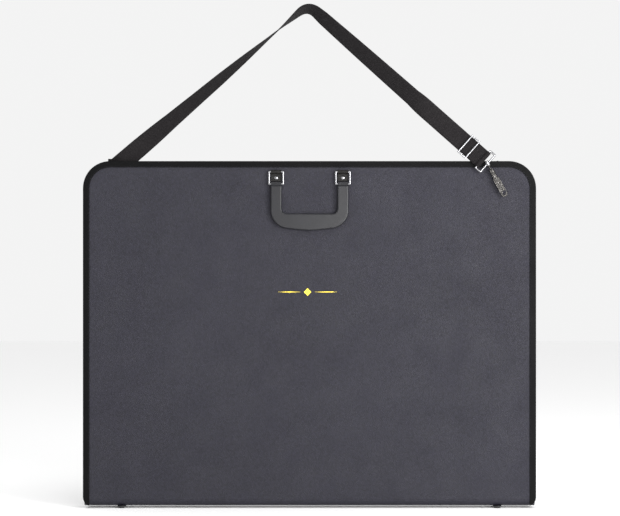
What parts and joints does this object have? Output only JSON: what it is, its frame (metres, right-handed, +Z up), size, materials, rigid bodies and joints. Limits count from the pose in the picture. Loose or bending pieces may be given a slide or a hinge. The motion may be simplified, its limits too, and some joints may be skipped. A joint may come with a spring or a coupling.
{
  "type": "portfolio case",
  "caption": "Flat zipped case for large sheets, opening along its bottom spine, with a folding drop handle on each side and a webbing shoulder strap.",
  "frame": {"origin": "centre of the case's footprint, level with the undersides of its feet", "axes": "+Z up, +X along the spine to the right seen from the front, the front board faces -Y"},
  "size_m": [0.72, 0.0552, 0.8083],
  "materials": {
    "cover_pvc": "fine grained black vinyl over board, soft sheen",
    "binding_pvc": "smooth black bound edge",
    "gusset_pvc": "grained black vinyl",
    "lining": "plain black lining",
    "zip_tape": "woven tape with moulded teeth",
    "zip_metal": "black nickel",
    "handle_plastic": "moulded, semi-gloss",
    "chape": "dark folded tab",
    "chrome": "polished",
    "webbing": "coarse woven webbing",
    "foot_plastic": "moulded"
  },
  "bodies": {
    "front_case": {"front_board": "cover_pvc", "front_lining": "lining", "front_binding": "binding_pvc", "front_gusset": "gusset_pvc", "front_zip": "zip_tape", "spine": "cover_pvc", "foot_front_left": "foot_plastic", "foot_back_left": "foot_plastic", "foot_front_right": "foot_plastic", "foot_back_right": "foot_plastic", "front_chape_left": "chape", "front_chape_right": "chape", "front_rivets": "chrome", "clip_tab": "webbing", "strap_anchor": "webbing", "shoulder_strap": "webbing", "strap_fold": "webbing", "hook_eye": "chrome"},
    "back_cover": {"back_board": "cover_pvc", "back_lining": "lining", "back_binding": "binding_pvc", "back_gusset": "gusset_pvc", "back_zip": "zip_tape", "back_chape_left": "chape", "back_chape_right": "chape", "back_rivets": "chrome"},
    "front_links": {"front_link_left": "chrome", "front_link_right": "chrome"},
    "front_handle": {"front_handle": "handle_plastic"},
    "back_links": {"back_link_left": "chrome", "back_link_right": "chrome"},
    "back_handle": {"back_handle": "handle_plastic"},
    "zip_slider_left": {"zip_slider_left": "zip_metal"},
    "zip_slider_right": {"zip_slider_right": "zip_metal"},
    "zip_pull_left": {"zip_pull_left": "zip_metal"},
    "zip_pull_right": {"zip_pull_right": "zip_metal"},
    "clip_ring": {"clip_ring": "chrome"},
    "strap_buckle": {"strap_buckle": "chrome"},
    "hook": {"hook_body": "chrome", "hook_gate_pin": "chrome"},
    "hook_gate": {"hook_gate": "chrome"}
  },
  "joints": [
    {"name": "cover_hinge", "type": "hinge", "parent": "front_case", "child": "back_cover", "pos_m": [0, 0.018, 0.0143], "axis": [-1, 0, 0], "range_deg": [0, 90]},
    {"name": "front_link_swing", "type": "hinge", "parent": "front_case", "child": "front_links", "pos_m": [0, -0.0223, 0.5345], "axis": [-1, 0, 0], "range_deg": [0, 150]},
    {"name": "front_handle_swing", "type": "hinge", "parent": "front_links", "child": "front_handle", "pos_m": [0, -0.0223, 0.5155], "axis": [-1, 0, 0], "range_deg": [0, 40]},
    {"name": "back_link_swing", "type": "hinge", "parent": "back_cover", "child": "back_links", "pos_m": [0, 0.0223, 0.5345], "axis": [1, 0, 0], "range_deg": [0, 150]},
    {"name": "back_handle_swing", "type": "hinge", "parent": "back_links", "child": "back_handle", "pos_m": [0, 0.0223, 0.5155], "axis": [1, 0, 0], "range_deg": [0, 40]},
    {"name": "zip_slide_left", "type": "slide", "parent": "front_case", "child": "zip_slider_left", "axis": [-1, 0, 0], "range_m": [0, 0.29]},
    {"name": "zip_slide_right", "type": "slide", "parent": "front_case", "child": "zip_slider_right", "axis": [1, 0, 0], "range_m": [0, 0.29]},
    {"name": "zip_pull_left_swing", "type": "hinge", "parent": "zip_slider_left", "child": "zip_pull_left", "pos_m": [-0.009, 0.005, 0.5512], "axis": [0, 1, 0], "range_deg": [0, 100]},
    {"name": "zip_pull_right_swing", "type": "hinge", "parent": "zip_slider_right", "child": "zip_pull_right", "pos_m": [0.009, 0.005, 0.5512], "axis": [0, -1, 0], "range_deg": [0, 100]},
    {"name": "clip_ring_swing", "type": "hinge", "parent": "front_case", "child": "clip_ring", "pos_m": [0.3, -0.0056, 0.55005], "axis": [0, -1, 0], "range_deg": [0, 150]},
    {"name": "buckle_slide", "type": "slide", "parent": "front_case", "child": "strap_buckle", "axis": [-0.748, 0.0191, 0.6634], "range_m": [0, 0.06]},
    {"name": "hook_swivel", "type": "hinge", "parent": "front_case", "child": "hook", "pos_m": [0.28248, -0.02519, 0.54777], "axis": [0.4802, 0, -0.8771], "continuous": true},
    {"name": "gate_hinge", "type": "hinge", "parent": "hook", "child": "hook_gate", "pos_m": [0.30184, -0.02519, 0.52074], "axis": [0, 1, 0], "range_deg": [0, 10], "stiffness_Nm_per_rad": 0.01, "springref_deg": -17.19}
  ]
}
